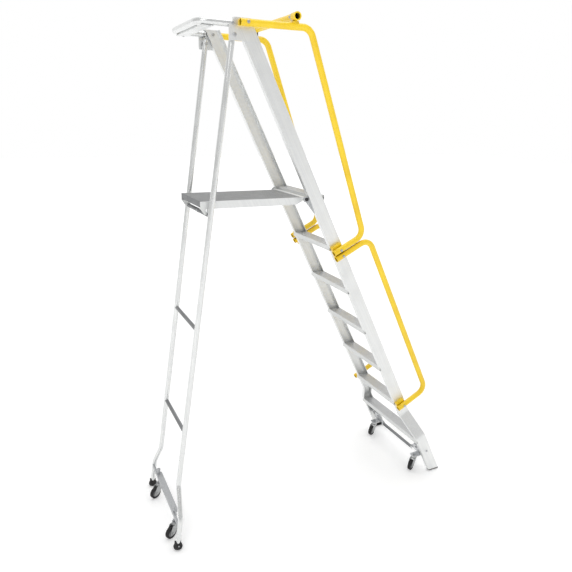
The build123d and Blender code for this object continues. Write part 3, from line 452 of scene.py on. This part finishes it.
# the screw that holds the sleeve on the gate bar
RAIL_R = 0.0175
SCREW_IN = 0.056                        # from the open end of the sleeve
SCREW = ((0.006, -0.003), (0.006, 0.002), (0.0052, 0.0034), (0.003, 0.0042), (0.0008, 0.0044))
gate_low, gate_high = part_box("gate_bar")
gate_y = (gate_low[1] + gate_high[1]) / 2
gate_z = (gate_low[2] + gate_high[2]) / 2
screw_place = (gate_low[0] + SCREW_IN, gate_y + RAIL_R, gate_z)
RING_IN = 0.040                         # the ring butts against the sleeve
RING = (
    (RAIL_R - 0.0005, 0),
    (RAIL_R + 0.0022, 0),
    (RAIL_R + 0.0028, 0.0012),
    (RAIL_R + 0.0028, 0.0088),
    (RAIL_R + 0.0022, 0.010),
    (RAIL_R - 0.0005, 0.010),
)
ring_place = (gate_low[0] + RING_IN, gate_y, gate_z)
lathe("gate_sleeve_ring", ring_place, (1, 0, 0), RING, "gate", zinc, capped=False)
lathe("gate_sleeve_screw", screw_place, (0, 1, 0), SCREW, "gate", zinc)

# ---------------------------------------------------------------- springs
# Coils with closed ends stand in for the rigid CAD ones.
COIL_SIDES = 10
COIL_STEPS = 30                         # rings in one turn
END_TURN = 1.04                         # rise of an end turn, in wire thicknesses


def coil(bm, low, along, length, coil_r, wire_r, turns):
    """Adds a compression spring to bm, from its lower end upwards along an axis."""
    up = Vector((0, 0, 1))
    turn = Vector(along).to_track_quat("Z", "Y").to_matrix()
    end_rise = END_TURN * 2 * wire_r
    pitch = (length - 2 * wire_r - 2 * end_rise) / (turns - 2)
    rings = []
    for k in range(turns * COIL_STEPS + 1):
        done = k / COIL_STEPS
        middle_turns = min(max(done - 1, 0), turns - 2)
        end_turns = done - middle_turns
        angle = 2 * pi * done
        outward = Vector((cos(angle), sin(angle), 0))
        height = wire_r + end_turns * end_rise + middle_turns * pitch
        centre = outward * coil_r + up * height
        round_wire = [outward * cos(a) + up * sin(a) for a in angles_round(COIL_SIDES)]
        rings.append([Vector(low) + turn @ (centre + wire_r * point) for point in round_wire])
    rows = loft(bm, rings, closed=False)
    bm.faces.new(rows[0])
    bm.faces.new(rows[-1])


# one round each rear stem, between the stem's collar and the caster bar
SPRING_R = 0.009
SPRING_WIRE = 0.0015
SPRING_TURNS = 6
for hand in ("left", "right"):
    low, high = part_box(f"rear_{hand}_spring")
    x, y = (low[0] + high[0]) / 2, (low[1] + high[1]) / 2
    bm = bmesh.new()
    length = high[2] - low[2]
    coil(bm, (x, y, low[2]), (0, 0, 1), length, SPRING_R, SPRING_WIRE, SPRING_TURNS)
    piece = add_piece(f"rear_{hand}_coil", bm, "rear_frame", zinc)
    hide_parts(f"rear_{hand}_spring")
    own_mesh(piece)

# one in each stile's channel, between the front carrier's plate and the hanger
FRONT_R = 0.0055
FRONT_WIRE = 0.0011
FRONT_TURNS = 5
FRONT_LENGTH = 0.0266
FRONT_X = 0.265
FRONT_Y = -0.8477                       # lower end of a coil, on its middle line
FRONT_Z = 0.1768
up_stile = Vector((0, sin(LEAN), cos(LEAN)))
bm = bmesh.new()
for side in (-1, 1):
    foot = (side * FRONT_X, FRONT_Y, FRONT_Z)
    coil(bm, foot, up_stile, FRONT_LENGTH, FRONT_R, FRONT_WIRE, FRONT_TURNS)
piece = add_piece("front_coils", bm, "stile_frame", zinc)
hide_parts("front_springs")
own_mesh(piece)

# ---------------------------------------------------------------- stage
FLOOR = 60.0
NEAR_FLOOR = 2.5                        # the floor brightens between these distances
FAR_FLOOR = 9.0
NEAR_GLOW = 0.20
FAR_GLOW = 0.45
bpy.ops.mesh.primitive_plane_add(size=FLOOR, location=(0, 0, 0))
floor = bpy.context.object
floor.name = "floor"
floor_shader = Shader("floor", (0.96, 0.96, 0.96), 0, 0.85)
clouds = floor_shader.noise(0.6, 2)
floor_shader.color(floor_shader.mix(clouds, (0.95, 0.95, 0.95), (0.97, 0.97, 0.97)))
reach = floor_shader.tree.nodes.new("ShaderNodeVectorMath")
reach.operation = "LENGTH"
floor_shader.link(floor_shader.position, reach.inputs[0])
glow = floor_shader.ramp(reach.outputs["Value"], NEAR_FLOOR, FAR_FLOOR, NEAR_GLOW, FAR_GLOW)
floor_shader.surface.inputs["Emission Color"].default_value = (1, 1, 1, 1)
floor_shader.link(glow, floor_shader.surface.inputs["Emission Strength"])
floor.data.materials.append(floor_shader.material)

SKY_BRIGHT = 1.0
SKY_DIM = 0.62
BRIGHT_SIDE = (0.895, -0.445, 0.0)      # the backdrop's direction; it is dimmer opposite
DIM_FACING = -0.2                       # how far a direction has to face away to be dim
BRIGHT_FACING = 0.7                     # and how far towards it to be bright
world = bpy.data.worlds.new("studio")
world.use_nodes = True
sky = world.node_tree
direction = sky.nodes.new("ShaderNodeTexCoord").outputs["Generated"]
facing = sky.nodes.new("ShaderNodeVectorMath")
facing.operation = "DOT_PRODUCT"
facing.inputs[1].default_value = BRIGHT_SIDE
sky.links.new(direction, facing.inputs[0])
level = sky.nodes.new("ShaderNodeMapRange")
level.interpolation_type = "SMOOTHSTEP"
level.inputs["From Min"].default_value = DIM_FACING
level.inputs["From Max"].default_value = BRIGHT_FACING
level.inputs["To Min"].default_value = SKY_DIM
level.inputs["To Max"].default_value = SKY_BRIGHT
sky.links.new(facing.outputs["Value"], level.inputs["Value"])
sky.nodes["Background"].inputs["Color"].default_value = (1, 1, 1, 1)
sky.links.new(level.outputs["Result"], sky.nodes["Background"].inputs["Strength"])
bpy.context.scene.world = world
bpy.context.scene.view_settings.view_transform = "Standard"


def area_light(name, location, target, size, power):
    """Large soft light aimed at a point."""
    data = bpy.data.lights.new(name, "AREA")
    data.shape = "DISK"
    data.size = size
    data.energy = power
    light = bpy.data.objects.new(name, data)
    bpy.context.collection.objects.link(light)
    light.location = location
    toward = Vector(target) - Vector(location)
    light.rotation_euler = toward.to_track_quat("-Z", "Y").to_euler()


area_light("key", (-4.5, 3.5, 6.0), (0, 0, 1.3), size=3.0, power=90)
area_light("top", (0.5, -0.5, 7.0), (0, 0, 1), size=4.0, power=70)

# ---------------------------------------------------------------- camera
CAMERA_PLACE = (-2.916, 1.570, 2.427)
CAMERA_TARGET = (0.0743, 0.0810, 1.399)
CAMERA_ROLL = radians(1.43)
FOCAL = 34.4
SENSOR = 36
camera_data = bpy.data.cameras.new("camera")
camera_data.lens = FOCAL
camera_data.sensor_width = SENSOR
camera = bpy.data.objects.new("camera", camera_data)
bpy.context.collection.objects.link(camera)
sight = Vector(CAMERA_TARGET) - Vector(CAMERA_PLACE)
aim = sight.to_track_quat("-Z", "Y").to_matrix().to_4x4()
roll = Matrix.Rotation(CAMERA_ROLL, 4, "Z")
camera.matrix_world = Matrix.Translation(CAMERA_PLACE) @ aim @ roll
bpy.context.scene.camera = camera
